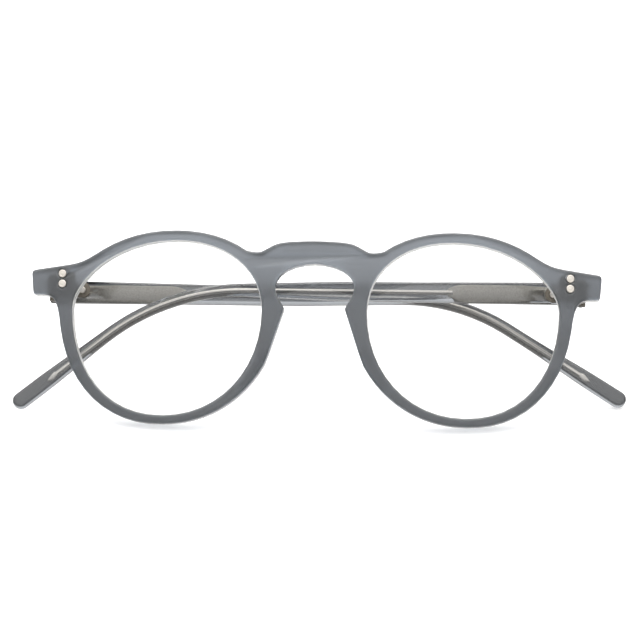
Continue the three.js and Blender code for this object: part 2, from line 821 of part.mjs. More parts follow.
function piece(name, geometry, finish) {
  const mesh = new THREE.Mesh(geometry, new THREE.MeshStandardMaterial(finish));
  mesh.name = name;
  return mesh;
}

function templeGroup(name, side, bend, fold) {
  const handed = (geometry) => (side > 0 ? geometry : mirrored(geometry, 'y'));
  const swing = new THREE.Group();
  swing.rotation.z = side > 0 ? Math.PI + fold : -fold;
  swing.add(piece(`temple_${name}`, handed(templeGeometry(bend)), acetate));
  swing.add(piece(`core_${name}`, handed(coreGeometry(bend)), core));
  swing.add(piece(`temple_hinge_leaf_${name}`, handed(templeLeafGeometry()), nickel));
  templeRivetPlaces.forEach((place, index) => {
    const end = index === 0 ? 'near' : 'far';
    swing.add(piece(`temple_rivet_${name}_${end}`, handed(templeRivetGeometry(index)), nickel));
  });
  const hinge = new THREE.Group();
  hinge.position.set(side * pinX, pinY, hingeZ);
  hinge.rotation.set(-pantoscopicAngle, -crossAngle, 0);
  hinge.add(swing);
  return hinge;
}

const front = new THREE.Group();
front.add(piece('front', frontGeometry(), acetate));
for (const [name, side] of [['left', 1], ['right', -1]]) {
  front.add(piece(`nose_pad_${name}`, padGeometry(side), padAcetate));
  front.add(piece(`front_hinge_leaf_${name}`, frontLeafGeometry(side), nickel));
  front.add(piece(`front_rivet_${name}_upper`, frontRivetGeometry(side, 0), nickel));
  front.add(piece(`front_rivet_${name}_lower`, frontRivetGeometry(side, 1), nickel));
  front.add(piece(`hinge_screw_${name}`, screwGeometry(side), steel));
}

const temples = new THREE.Group();
temples.add(templeGroup('left', 1, leftBend, leftFold));
temples.add(templeGroup('right', -1, rightBend, rightFold));

// Stance: the frame leans back until its rims and a temple tip stand level
function cornersOf(body) {
  body.updateMatrixWorld(true);
  const corners = [];
  body.traverse((child) => {
    if (child.isMesh) {
      const place = child.geometry.attributes.position;
      for (let index = 0; index < place.count; index += 1) {
        corners.push(new THREE.Vector3().fromBufferAttribute(place, index).applyMatrix4(child.matrixWorld));
      }
    }
  });
  return corners;
}

function lowest(corners, lean) {
  let low = Infinity;
  for (const corner of corners) {
    low = Math.min(low, corner.z * Math.cos(lean) - corner.y * Math.sin(lean));
  }
  return low;
}

const steepestLean = Math.PI / 3;
const leanPasses = 40;
const frontCorners = cornersOf(front);
const templeCorners = cornersOf(temples);
let leanLow = 0;
let leanHigh = steepestLean;
for (let pass = 0; pass < leanPasses; pass += 1) {
  const lean = (leanLow + leanHigh) / 2;
  if (lowest(templeCorners, lean) > lowest(frontCorners, lean)) {
    leanLow = lean;
  } else {
    leanHigh = lean;
  }
}

const stance = new THREE.Group();
stance.add(front, temples);
stance.rotation.x = -leanLow;
stance.updateMatrixWorld(true);
const extent = new THREE.Box3().setFromObject(stance, true);
const middle = extent.getCenter(new THREE.Vector3());
stance.position.set(-middle.x, -middle.y, -extent.min.z);

const eyeglasses = new THREE.Group();
eyeglasses.add(stance);
eyeglasses.updateMatrixWorld(true);

export default eyeglasses;
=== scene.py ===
# %% [markdown]
# # A folded eyeglass frame in smoke-grey acetate
# The real frame is cut from a sheet of cellulose acetate, shaped, riveted to its hinges and then
# tumbled for days with wooden chips, which rounds every edge. The imported model gives each part its
# true size and place. This lesson adds what the eye notices: soft edges, grey acetate that light
# passes through, and the metal that shows inside it. The imported model is loaded first.

import json
import math

import bpy
from mathutils import Matrix, Vector


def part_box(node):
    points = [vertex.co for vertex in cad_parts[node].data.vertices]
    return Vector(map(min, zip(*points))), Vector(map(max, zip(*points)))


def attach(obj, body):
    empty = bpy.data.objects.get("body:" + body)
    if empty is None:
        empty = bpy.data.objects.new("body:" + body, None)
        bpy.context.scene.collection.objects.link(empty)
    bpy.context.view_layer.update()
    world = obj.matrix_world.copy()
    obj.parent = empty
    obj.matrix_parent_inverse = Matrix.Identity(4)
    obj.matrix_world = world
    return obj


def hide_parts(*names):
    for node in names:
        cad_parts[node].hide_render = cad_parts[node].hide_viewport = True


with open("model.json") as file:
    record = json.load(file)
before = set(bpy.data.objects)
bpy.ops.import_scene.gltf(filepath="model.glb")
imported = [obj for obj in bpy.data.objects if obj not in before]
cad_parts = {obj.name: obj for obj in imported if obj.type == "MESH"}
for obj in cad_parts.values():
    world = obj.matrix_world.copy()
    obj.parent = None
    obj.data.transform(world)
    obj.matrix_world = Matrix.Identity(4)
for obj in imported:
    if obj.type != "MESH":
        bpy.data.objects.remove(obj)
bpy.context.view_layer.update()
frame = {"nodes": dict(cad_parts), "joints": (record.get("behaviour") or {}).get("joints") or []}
MM = 0.001

# %% [markdown]
# ## Small helpers
# Every operator acts on all that is selected, so each step starts by selecting just its own piece.
# Modifiers are applied at once, which leaves plain meshes. A finished piece keeps its
# object at the origin and its place in its mesh, so that patterns on object coordinates stay put.

# %% Helpers for selecting and finishing
MERGE_DISTANCE = 0.001 * MM
SAME_PLACE = 1e-4


def select_only(*pieces):
    bpy.ops.object.select_all(action="DESELECT")
    for piece in pieces:
        piece.select_set(True)
        bpy.context.view_layer.objects.active = piece


def finish_with(piece, kind, **settings):
    modifier = piece.modifiers.new(kind.title(), kind)
    for name, value in settings.items():
        setattr(modifier, name, value)
    select_only(piece)
    bpy.ops.object.modifier_apply(modifier=modifier.name)


def edit(piece, *steps):
    """Runs edit-mode operators, each given as a function, on the whole of one piece."""
    select_only(piece)
    bpy.ops.object.mode_set(mode="EDIT")
    bpy.ops.mesh.select_all(action="SELECT")
    for step in steps:
        step()
    bpy.ops.object.mode_set(mode="OBJECT")


def merge_doubles():
    bpy.ops.mesh.remove_doubles(threshold=MERGE_DISTANCE)


def face_outwards():
    bpy.ops.mesh.normals_make_consistent(inside=False)


def copy_of(node, name):
    """A merged copy of a CAD node's mesh, as a piece of its own."""
    piece = bpy.data.objects.new(name, frame["nodes"][node].data.copy())
    bpy.context.scene.collection.objects.link(piece)
    piece.data.materials.clear()
    edit(piece, merge_doubles)
    return piece


def joined(name, *pieces):
    select_only(*pieces)
    bpy.ops.object.join()
    whole = bpy.context.view_layer.objects.active
    whole.name = name
    return whole


def placed(piece, matrix):
    """Puts the place into the mesh, so that the object itself stays at the origin."""
    piece.data.transform(matrix)
    piece.matrix_world = Matrix.Identity(4)
    return piece


def cut_away(piece, tool):
    finish_with(piece, "BOOLEAN", operation="DIFFERENCE", object=tool, solver="EXACT")
    bpy.data.objects.remove(tool)


def copies(piece, name, matrix):
    twin = bpy.data.objects.new(name, piece.data.copy())
    bpy.context.scene.collection.objects.link(twin)
    return placed(twin, matrix)


# %% [markdown]
# ## Where things are
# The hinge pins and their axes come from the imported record. The pin leans 8 degrees against the
# front, so the axis also tells how far the whole front leans back on the table. New pieces are drawn
# flat, in millimetres, as on a workbench, and one matrix for each temple and one for the front take
# them to their places. Drawing them in place would need every slant in every number.

# %% Frames of the front and of the two temples
PANTOSCOPIC = math.radians(8)
CROSSING = math.radians(0.15)
LEFT_FOLD = math.radians(0.7274)
RIGHT_FOLD = math.radians(2.6327)
RIVET_X = 64.3
WRAP_RADIUS = 350
WRAP = math.asin(RIVET_X / WRAP_RADIUS)
JOINTS = {joint["name"]: joint for joint in frame["joints"]}
PINS = {side: Vector(JOINTS[f"hinge_{side}"]["pos_m"]) for side in ("left", "right")}
_, AXIS_Y, AXIS_Z = JOINTS["hinge_right"]["axis"]
LEAN = math.atan2(AXIS_Y, AXIS_Z) - PANTOSCOPIC
PIN_IN_FACE = Vector((67.155, 14.578, 10.65))  # the left pin seen from the middle of the front
print("the front leans back", round(math.degrees(LEAN), 2), "degrees")


def temple_frame(side):
    """From a temple laid along +X, millimetres, to its folded place."""
    turn = math.pi + LEFT_FOLD if side == "left" else RIGHT_FOLD
    tilt = Matrix.Rotation(-(LEAN + PANTOSCOPIC), 4, "X") @ Matrix.Rotation(-CROSSING, 4, "Y")
    return Matrix.Translation(PINS[side]) @ tilt @ Matrix.Rotation(turn, 4, "Z") @ Matrix.Scale(MM, 4)


def face_frame():
    """From the front drawn upright round the middle of its face, millimetres, to its leaning place."""
    lean = Matrix.Rotation(-LEAN, 4, "X") @ Matrix.Scale(MM, 4)
    return Matrix.Translation(PINS["left"]) @ lean @ Matrix.Translation(-PIN_IN_FACE)


# %% [markdown]
# ## The acetate front
# A front like this is milled and then tumbled. Bevels could round its edges one by one, but they fail
# where curved walls meet, so a remesh with small even faces and a smoothing pass round all of them at
# once, as the tumbler does. A shallow saddle is planed off the bridge first, and plugs fill the rivet
# holes, because in the real sheet the acetate closes round the rivets.

# %% Front
RIVETS = [f"front_rivet_{side}_{level}" for side in ("left", "right") for level in ("upper", "lower")]
REMESH_SIZE = 0.27 * MM
TUMBLING_PASSES = 4
TUMBLING_FACTOR = 0.5
PLUG_RADIUS = 1.12 * MM
PLUG_LENGTH = 5 * MM
PLUG_SIDES = 24
# The saddle, in millimetres in the front's own frame
SADDLE_HALF_TOP = 8.8
SADDLE_HALF_FOOT = 7.2
SADDLE_FLARE = 2.4
SADDLE_DEPTH = 0.22
SADDLE_FOOT = 14
SADDLE_TOP = 24


def middle_of(node):
    low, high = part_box(node)
    return (low + high) / 2


def front_turn(side):
    """How a straight-through axis of the front is turned at one end piece."""
    wrap = WRAP if side == "left" else -WRAP
    return Matrix.Rotation(-LEAN, 4, "X") @ Matrix.Rotation(wrap, 4, "Z")


def plug(node):
    side = "left" if "left" in node else "right"
    bpy.ops.object.select_all(action="DESELECT")
    bpy.ops.mesh.primitive_cylinder_add(vertices=PLUG_SIDES, radius=PLUG_RADIUS, depth=PLUG_LENGTH)
    cylinder = bpy.context.object
    turn = front_turn(side) @ Matrix.Rotation(math.pi / 2, 4, "X")
    return placed(cylinder, Matrix.Translation(middle_of(node)) @ turn)


def saddle_plane():
    """What is planed off the bridge: a shallow block, narrower at its floor and towards the nose."""
    bpy.ops.object.select_all(action="DESELECT")
    bpy.ops.mesh.primitive_cube_add(size=2)
    tool = bpy.context.object
    for vertex in tool.data.vertices:
        x, y, z = vertex.co
        half = SADDLE_HALF_TOP if z > 0 else SADDLE_HALF_FOOT
        flare = 0 if y > 0 else SADDLE_FLARE
        vertex.co = (x * (half + flare), y * SADDLE_DEPTH, SADDLE_TOP if z > 0 else SADDLE_FOOT)
    return placed(tool, face_frame())


front = copy_of("front", "acetate_front")
cut_away(front, saddle_plane())
front = joined("acetate_front", *[plug(node) for node in RIVETS], front)
finish_with(front, "REMESH", mode="VOXEL", voxel_size=REMESH_SIZE, use_smooth_shade=True)
finish_with(front, "SMOOTH", factor=TUMBLING_FACTOR, iterations=TUMBLING_PASSES)
print("front:", len(front.data.polygons), "faces")

# %% [markdown]
# ## Nose pads
# Each pad is a small block of the same acetate, glued behind the rim and filed to shape. The packed
# solid has its form already, so a copy of it gets the same tumbled edges as the front. It is a small
# piece, so its grid is finer.

# %% Nose pads
PAD_REMESH_SIZE = 0.2 * MM
pads = {}
for side in ("left", "right"):
    pad = copy_of(f"nose_pad_{side}", f"acetate_nose_pad_{side}")
    finish_with(pad, "REMESH", mode="VOXEL", voxel_size=PAD_REMESH_SIZE, use_smooth_shade=True)
    finish_with(pad, "SMOOTH", factor=TUMBLING_FACTOR, iterations=TUMBLING_PASSES)
    pads[side] = pad
    print(pad.name, len(pad.data.polygons), "faces")

# %% [markdown]
# ## The temples
# A temple is a strip with a middle line, drawn flat, extruded place by place along that line with
# its height changing, closed by a half circle at the tip, then given its thickness and its rounded
# edges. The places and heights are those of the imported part, in millimetres. The middle line runs
# straight from the hinge, bends down behind the ear on an arc, and runs straight again.

# %% The middle line of a temple
LENGTH = 153
THICKNESS = 2.7
INSET = 0.6
BENDS = {
    "left": {"rise": 0.5, "start": 85.8, "radius": 55.5, "drop": math.radians(38.9)},
    "right": {"rise": -0.43, "start": 89.4, "radius": 50.4, "drop": math.radians(32.2)},
}
BUTT = -7.6
TIP_HEIGHT = 4.2
TIP_RADIUS = TIP_HEIGHT / 2
HEIGHT_TABLE = [
    (BUTT, 5.9), (12.2, 5.67), (38.2, 5.2), (64.3, 4.8),
    (88.7, 3.35), (122.4, 3.05), (145.3, TIP_HEIGHT), (168.3, TIP_HEIGHT),
]


def spot(bend, along):
    """The point of the middle line at a length from the pin, and how far it has turned down."""
    if along <= bend["start"]:
        return Vector((along, 0, bend["rise"])), 0.0
    turned = min((along - bend["start"]) / bend["radius"], bend["drop"])
    rest = max(along - bend["start"] - bend["radius"] * bend["drop"], 0)
    x = bend["start"] + bend["radius"] * math.sin(turned) + rest * math.cos(turned)
    z = bend["rise"] - bend["radius"] * (1 - math.cos(turned)) - rest * math.sin(turned)
    return Vector((x, 0, z)), turned


def looked_up(table, at):
    """A smooth run through the table: each place takes the mean slope of its two neighbours."""
    runs = [(b[1] - a[1]) / (b[0] - a[0]) for a, b in zip(table, table[1:])]
    slopes = [runs[0]] + [(a + b) / 2 if a * b > 0 else 0 for a, b in zip(runs, runs[1:])] + [runs[-1]]
    for index, ((start, before), (end, after)) in enumerate(zip(table, table[1:])):
        if at <= end:
            span = end - start
            share = max((at - start) / span, 0)
            eased = share * share * (3 - 2 * share)
            swing = share * (1 - share) * span
            bulge = swing * ((1 - share) * slopes[index] - share * slopes[index + 1])
            return before + (after - before) * eased + bulge
    return table[-1][1]


def stops(start, end, step):
    count = max(round((end - start) / step), 1)
    return [start + (end - start) * index / count for index in range(count + 1)]


print("half way, a temple is", round(looked_up(HEIGHT_TABLE, LENGTH / 2), 2), "mm high")

# %% [markdown]
# ## Drawing a strip
# The strip starts as a grid of one by two faces on its first two places. Its last edge is extruded to
# each next place, turned as the middle line turns and scaled to the height there, which is how one
# would draw it by hand. The half circle of the tip is swept from the upper half of the last edge.
# Solidify gives the thickness and Bevel the rounded long edges.

# %% Drawing a strip
TIP_STEPS = 14
TOUCHING = 0.01
TIP_MERGE = 0.02
SMOOTH_BELOW = math.radians(40)
BEVEL_ABOVE = math.radians(50)


def turn_selected(angle, middle):
    """Turns about +Y. With no window open this operator turns the other way, hence the minus."""
    bpy.ops.transform.rotate(value=-angle, orient_axis="Y", center_override=middle)


def strip(name, bend, lengths, table):
    """A flat strip in the XZ plane whose three rows of points follow the middle line."""
    rows = []
    for along in lengths:
        point, turned = spot(bend, along)
        rows.append((point, turned, looked_up(table, along) / 2))
    bpy.ops.object.select_all(action="DESELECT")
    bpy.ops.mesh.primitive_grid_add(x_subdivisions=1, y_subdivisions=2, size=2)
    piece = bpy.context.object
    piece.name = name
    (first, _, first_half), (second, _, second_half) = rows[:2]
    for vertex in piece.data.vertices:
        at, half = (first, first_half) if vertex.co.x < 0 else (second, second_half)
        vertex.co = at + Vector((0, 0, half * round(vertex.co.y)))
    bpy.ops.object.mode_set(mode="EDIT")
    bpy.ops.mesh.select_mode(type="EDGE")
    bpy.ops.mesh.select_all(action="DESELECT")
    bpy.ops.object.mode_set(mode="OBJECT")
    for edge in piece.data.edges:
        ends = [piece.data.vertices[index].co for index in edge.vertices]
        edge.select = all(abs(end.x - second.x) < SAME_PLACE for end in ends)
    bpy.ops.object.mode_set(mode="EDIT")
    for (before, turn_before, half_before), (after, turn_after, half_after) in zip(rows[1:], rows[2:]):
        bpy.ops.mesh.extrude_region_move(TRANSFORM_OT_translate={"value": after - before})
        if turn_after != turn_before:
            turn_selected(turn_after - turn_before, after)
        ratio = half_after / half_before
        bpy.ops.transform.resize(value=(ratio, ratio, ratio), center_override=after)
    bpy.ops.object.mode_set(mode="OBJECT")
    return piece, rows[-1]


def rounded_tip(piece, end, turned, half):
    """Closes the strip with a half disc, swept from the upper half of its last edge."""
    top = end + Vector((math.sin(turned), 0, math.cos(turned))) * half
    for edge in piece.data.edges:
        ends = [piece.data.vertices[index].co for index in edge.vertices]
        near_middle = min((co - end).length for co in ends) < TOUCHING
        near_top = min((co - top).length for co in ends) < TOUCHING
        edge.select = near_middle and near_top
    bpy.ops.object.mode_set(mode="EDIT")
    for _ in range(TIP_STEPS):
        bpy.ops.mesh.extrude_region_move(TRANSFORM_OT_translate={"value": (0, 0, 0)})
        turn_selected(math.pi / TIP_STEPS, end)
    bpy.ops.mesh.select_all(action="SELECT")
    bpy.ops.mesh.remove_doubles(threshold=TIP_MERGE)
    bpy.ops.object.mode_set(mode="OBJECT")


def thickened(piece, inner_y, outward, thickness, edge, segments):
    """Gives a strip its thickness away from the inner face, and rounds its long edges."""
    piece.data.transform(Matrix.Translation((0, inner_y + outward * thickness / 2, 0)))
    finish_with(piece, "SOLIDIFY", thickness=thickness, offset=0)
    edit(piece, face_outwards)
    finish_with(
        piece, "BEVEL", width=edge, segments=segments, limit_method="ANGLE",
        angle_limit=BEVEL_ABOVE, use_clamp_overlap=False,
    )
    select_only(piece)
    bpy.ops.object.shade_smooth_by_angle(angle=SMOOTH_BELOW)


# %% [markdown]
# ## Cuts for the hinge
# A temple is sawn off slanting, along the back of the end piece that it meets when it is open. It is
# milled hollow round the hinge barrel, and a shallow seat holds the hinge leaf. The saw cut is one
# bisect. The two others have round walls, so they are plain tools taken away with a boolean.

# %% Cuts for the hinge
LEAF_LENGTH, LEAF_HEIGHT, LEAF_DEPTH = 9, 4.2, 1.0
SWING_GAP = 0.3
BARREL_ROOM = 1.3 + SWING_GAP
BUTT_DEPTH = 2 - SWING_GAP
NOTCH_HEIGHT = 12
PAST_BUTT = -3
ROUND_SIDES = 48


def leaf_pocket(outward):
    """The shallow seat that the hinge leaf is pressed into, round at its far end."""
    length = LEAF_LENGTH - LEAF_HEIGHT / 2
    bpy.ops.object.select_all(action="DESELECT")
    bpy.ops.mesh.primitive_cylinder_add(
        vertices=ROUND_SIDES, radius=LEAF_HEIGHT / 2, depth=2 * LEAF_DEPTH)
    tool = bpy.context.object
    tool.data.transform(Matrix.Rotation(math.pi / 2, 4, "X"))
    for vertex in tool.data.vertices:
        if vertex.co.x > -SAME_PLACE:
            vertex.co.x += length
        else:
            vertex.co.x = PAST_BUTT
            vertex.co.z = math.copysign(LEAF_HEIGHT / 2, vertex.co.z)
    edit(tool, merge_doubles, face_outwards)
    return placed(tool, Matrix.Translation((0, outward * INSET, 0)))


def cut_butt(temple, outward):
    """Bisects the butt where it meets the end piece's back face when the temple is open."""
    turned = Matrix.Rotation(-math.pi / 2, 4, "Z") @ Matrix.Rotation(PANTOSCOPIC, 4, "X")
    towards_front = (turned @ Matrix.Rotation(WRAP, 4, "Z") @ Vector((0, -1, 0, 0))).xyz
    towards_front.y *= -outward
    edit(temple, lambda: bpy.ops.mesh.bisect(
        plane_co=towards_front * BUTT_DEPTH, plane_no=towards_front, use_fill=True, clear_outer=True))


def barrel_notch():
    bpy.ops.object.select_all(action="DESELECT")
    bpy.ops.mesh.primitive_cylinder_add(vertices=ROUND_SIDES, radius=BARREL_ROOM, depth=NOTCH_HEIGHT)
    return bpy.context.object


print("the hollow for the barrel is", round(2 * BARREL_ROOM, 1), "mm wide")

# %% [markdown]
# ## Both temples
# The two are drawn one by one, because each has its own bend: one lies inside the other when they are
# folded. The straight part needs few places and the bend needs many, or its edge would show corners.

# %% Temples
STRAIGHT_STEP, BEND_STEP = 12, 3
LONG_EDGE, LONG_EDGE_SEGMENTS = 0.9, 6
temples = {}
for side, bend in BENDS.items():
    outward = -1 if side == "left" else 1
    lengths = stops(BUTT, bend["start"], STRAIGHT_STEP)
    lengths += stops(bend["start"], LENGTH - TIP_RADIUS, BEND_STEP)[1:]
    temple, (end, turned, half) = strip(f"acetate_temple_{side}", bend, lengths, HEIGHT_TABLE)
    rounded_tip(temple, end, turned, half)
    thickened(temple, outward * INSET, outward, THICKNESS, LONG_EDGE, LONG_EDGE_SEGMENTS)
    cut_butt(temple, outward)
    cut_away(temple, barrel_notch())
    cut_away(temple, leaf_pocket(outward))
    temples[side] = placed(temple, temple_frame(side))
    spans = [max(v.co[i] for v in temple.data.vertices) - min(v.co[i] for v in temple.data.vertices)
             for i in range(3)]
    print(temple.name, len(temple.data.polygons), "faces,", [round(span / MM, 1) for span in spans], "mm")

# %% [markdown]
# ## The temple cores
# A metal core stiffens each temple and shows through it: a stamped plate near the hinge, drawn out
# into a round wire with a flattened point like a spear. The plate and the spear are strips again. The
# wire is a curve with a round section, which follows the bend with fewer faces than a swept circle.
# The plate is blasted and the wire is bright, so each is a piece of its own.

# %% Cores
CORE_THICKNESS = 0.7
SEAT_GAP = 0.15
CORE_Y = INSET + LEAF_DEPTH + 3 * SEAT_GAP
PLATE_START, PLATE_END = 1.9, 34
SQUARE_END, TAPER_START = 28, 29
PLATE_STEP, TAPER_STEP = 13, 0.6
PLATE_TABLE = [(0, 4.0), (29, 4.0), (30.5, 3.85), (32, 3.3), (33.3, 2.3), (34, 1.3), (40, 1.3)]
WIRE_RADIUS = 0.65
WIRE_STEP = 2
WIRE_ROUNDNESS = 4
PLATE_EDGE, SPEAR_EDGE, CORE_EDGE_SEGMENTS = 0.15, 0.2, 2
WIRE_START = PLATE_END - 1.5
POINT_TO_TIP = 10.5
SPEAR_LENGTH, SPEAR_STEP = 3, 0.5
WIRE_END = LENGTH - POINT_TO_TIP - SPEAR_LENGTH
SPEAR_END = WIRE_END + SPEAR_LENGTH
SPEAR_TABLE = [(0, 1.3), (WIRE_END, 1.3), (WIRE_END + 1, 2.0), (SPEAR_END, 0.4), (200, 0.3)]


def wire(name, bend, start, end, y):
    bpy.ops.object.select_all(action="DESELECT")
    curve = bpy.data.curves.new(name, "CURVE")
    curve.dimensions = "3D"
    curve.bevel_depth = WIRE_RADIUS
    curve.bevel_resolution = WIRE_ROUNDNESS
    curve.use_fill_caps = True
    line = curve.splines.new("POLY")
    points = [spot(bend, along)[0] for along in stops(start, end, WIRE_STEP)]
    line.points.add(len(points) - 1)
    for place, point in zip(line.points, points):
        place.co = (point.x, y, point.z, 1)
    piece = bpy.data.objects.new(name, curve)
    bpy.context.scene.collection.objects.link(piece)
    select_only(piece)
    bpy.ops.object.convert(target="MESH")
    select_only(piece)
    bpy.ops.object.shade_smooth_by_angle(angle=BEVEL_ABOVE)
    return bpy.context.object


cores = {}
for side, bend in BENDS.items():
    outward = -1 if side == "left" else 1
    inner = outward * CORE_Y
    lengths = stops(PLATE_START, SQUARE_END, PLATE_STEP) + stops(TAPER_START, PLATE_END, TAPER_STEP)
    plate, _ = strip("plate", bend, lengths, PLATE_TABLE)
    thickened(plate, inner, outward, CORE_THICKNESS, PLATE_EDGE, CORE_EDGE_SEGMENTS)
    lengths = stops(WIRE_END - SPEAR_STEP, SPEAR_END, SPEAR_STEP)
    spear, _ = strip("spear", bend, lengths, SPEAR_TABLE)
    thickened(spear, inner, outward, CORE_THICKNESS, SPEAR_EDGE, CORE_EDGE_SEGMENTS)
    rod = wire("rod", bend, WIRE_START, WIRE_END, inner + outward * CORE_THICKNESS / 2)
    drawn = joined(f"metal_core_wire_{side}", spear, rod)
    plate.name = f"metal_core_plate_{side}"
    cores[side] = [placed(part, temple_frame(side)) for part in (plate, drawn)]
    print(plate.name, len(plate.data.polygons), "faces;", drawn.name, len(drawn.data.polygons), "faces")

# %% [markdown]
# ## Rivets and screws
# A hinge rivet is turned from nickel silver and filed flush with the acetate: what shows is a bright
# ring round a duller middle. One is modelled, in millimetres, from a cylinder that is bevelled, inset
# and pushed in at its head, with its shank extruded from behind. A plain disc would have the size but
# not that ring, which is what the eye finds first.

# %% One rivet
HEAD_RADIUS = 1.0
HEAD_DEPTH = 0.5
HEAD_EDGE = 0.12
RING_WIDTH = 0.26
GROOVE = 0.05
CROWN_INSET, CROWN_RISE = 0.3, 0.03
SHANK_RADIUS = 0.6
GRIP = 7.2
HEAD_SIDES, HEAD_EDGE_SEGMENTS = 40, 3
FACING_AXIS = 0.9
PACKED_LENGTH = 7.75
HEAD_SUNK = 0.15
SMALL_SMOOTH = math.radians(35)


def select_faces_at(piece, z):
    for face in piece.data.polygons:
        face.select = abs(face.center.z - z) < SAME_PLACE and abs(face.normal.z) > FACING_AXIS
    for edge in piece.data.edges:
        edge.select = False
    for face in piece.data.polygons:
        if face.select:
            for loop in face.loop_indices:
                piece.data.edges[piece.data.loops[loop].edge_index].select = True


def rivet(name):
    """A rivet with its head up at z = 0 and its tail at z = -GRIP."""
    bpy.ops.object.select_all(action="DESELECT")
    bpy.ops.mesh.primitive_cylinder_add(vertices=HEAD_SIDES, radius=HEAD_RADIUS, depth=HEAD_DEPTH,
                                        location=(0, 0, -HEAD_DEPTH / 2))
    piece = bpy.context.object
    piece.name = name
    placed(piece, piece.matrix_world.copy())
    bpy.ops.object.mode_set(mode="EDIT")
    bpy.ops.mesh.select_mode(type="FACE")
    bpy.ops.mesh.select_all(action="DESELECT")
    bpy.ops.object.mode_set(mode="OBJECT")
    select_faces_at(piece, 0)
    bpy.ops.object.mode_set(mode="EDIT")
    bpy.ops.mesh.bevel(offset=HEAD_EDGE, segments=HEAD_EDGE_SEGMENTS, affect="EDGES")
    bpy.ops.object.mode_set(mode="OBJECT")
    select_faces_at(piece, 0)
    bpy.ops.object.mode_set(mode="EDIT")
    bpy.ops.mesh.inset(thickness=RING_WIDTH)
    bpy.ops.mesh.inset(thickness=GROOVE, depth=-GROOVE)
    bpy.ops.mesh.inset(thickness=CROWN_INSET, depth=CROWN_RISE)
    bpy.ops.mesh.select_all(action="DESELECT")
    bpy.ops.object.mode_set(mode="OBJECT")
    select_faces_at(piece, -HEAD_DEPTH)
    bpy.ops.object.mode_set(mode="EDIT")
    bpy.ops.mesh.inset(thickness=HEAD_RADIUS - SHANK_RADIUS)
    bpy.ops.mesh.extrude_region_move(TRANSFORM_OT_translate={"value": (0, 0, HEAD_DEPTH - GRIP)})
    bpy.ops.object.mode_set(mode="OBJECT")
    select_only(piece)
    bpy.ops.object.shade_smooth_by_angle(angle=SMALL_SMOOTH)
    return piece


# %% [markdown]
# ## The four rivets of the front
# All four are the same turned part, so they are copies of one mesh. Each stands square to its end
# piece, which is bent back a little with the front, and its head ends flush with the acetate.

# %% Four front rivets
pattern = rivet("rivet_pattern")
rivets = {}
for node in RIVETS:
    side = "left" if "left" in node else "right"
    turn = front_turn(side) @ Matrix.Rotation(math.pi / 2, 4, "X") @ Matrix.Scale(MM, 4)
    outward = (front_turn(side) @ Vector((0, -1, 0, 0))).xyz
    head = middle_of(node) + outward * (PACKED_LENGTH / 2 - HEAD_SUNK) * MM
    rivets[node] = copies(pattern, f"metal_{node}", Matrix.Translation(head) @ turn)
bpy.data.objects.remove(pattern)
print(len(rivets), "rivets of", len(rivets[RIVETS[0]].data.polygons), "faces")

# %% [markdown]
# ## Hinge leaves and screws
# The leaves are stamped and the screws turned, and both are tumbled, so no edge is sharp. The packed
# solids have the knuckles and bores already, so each is copied, and a bevel breaks its edges by a tenth
# of a millimetre: just enough to catch a thin line of light.

# %% Leaves and screws
BROKEN_EDGE, BROKEN_EDGE_SEGMENTS = 0.12 * MM, 2
small_metal = {}
for node in frame["nodes"]:
    if "hinge_leaf" in node or "screw" in node:
        piece = copy_of(node, f"metal_{node}")
        finish_with(
            piece, "BEVEL", width=BROKEN_EDGE, segments=BROKEN_EDGE_SEGMENTS,
            limit_method="ANGLE", angle_limit=SMOOTH_BELOW,
        )
        select_only(piece)
        bpy.ops.object.shade_smooth_by_angle(angle=SMALL_SMOOTH)
        small_metal[node] = piece
        print(piece.name, len(piece.data.polygons), "faces")

# %% [markdown]
# ## Colours and nodes
# A colour is picked as an sRGB hex value, as in a paint program, while shaders reckon in linear light.
# One function turns the first into the second. Another adds a node with its settings and links, so
# that every material below reads from top to bottom. Painting a piece also says which body it rides
# on and which imported part it stands for.

# %% Helpers for materials
MATH = "ShaderNodeMath"
RAMP = "ShaderNodeMapRange"
SPLIT = "ShaderNodeSeparateXYZ"


def linear(hex_colour):
    """An sRGB hex value as the linear colour that Blender works in."""
    channels = [int(hex_colour[start:start + 2], 16) / 255 for start in (1, 3, 5)]
    return [c / 12.92 if c <= 0.04045 else ((c + 0.055) / 1.055) ** 2.4 for c in channels] + [1]


def add_node(tree, kind, inputs=None, **settings):
    """Adds one node; an input is a value, a socket that feeds it or a node whose first output does."""
    node = tree.nodes.new(kind)
    for name, value in settings.items():
        setattr(node, name, value)
    for name, value in (inputs or {}).items():
        if isinstance(value, bpy.types.Node):
            value = value.outputs[0]
        if isinstance(value, bpy.types.NodeSocket):
            tree.links.new(value, node.inputs[name])
        else:
            node.inputs[name].default_value = value
    return node


def new_material(name):
    material = bpy.data.materials.new(name)
    material.use_nodes = True
    material.node_tree.nodes.clear()
    return material, material.node_tree


def paint(piece, material, body, replaces):
    piece.data.materials.clear()
    piece.data.materials.append(material)
    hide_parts(replaces)
    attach(piece, body)


print("half grey, #808080, is", round(linear("#808080")[0], 3), "in linear light")

# %% [markdown]
# ## Pale walls: a painted highlight
# The walls of the lens openings and the undersides of the end pieces are painted paler and less clear
# than the polished faces of the front: a painted highlight, for the bright surroundings that these
# walls mirror at a grazing angle. They aren't pieces of their own, so a mask finds them by where a
# point lies and which way it faces: towards the middle of its opening, or downwards at an end piece.
# Faces picked by hand would be lost with every remesh.

# %% A mask for the painted highlight on the walls
LENS_MIDDLE = Vector((37.4, 4.0, 0))
FACING_NONE, FACING_FULL = -6 * MM, -14 * MM
STEEP_NONE, STEEP_FULL = 0.75, 0.45
UNDER_NONE, UNDER_FULL = -0.5, -0.75
END_PIECE_FROM = 60 * MM


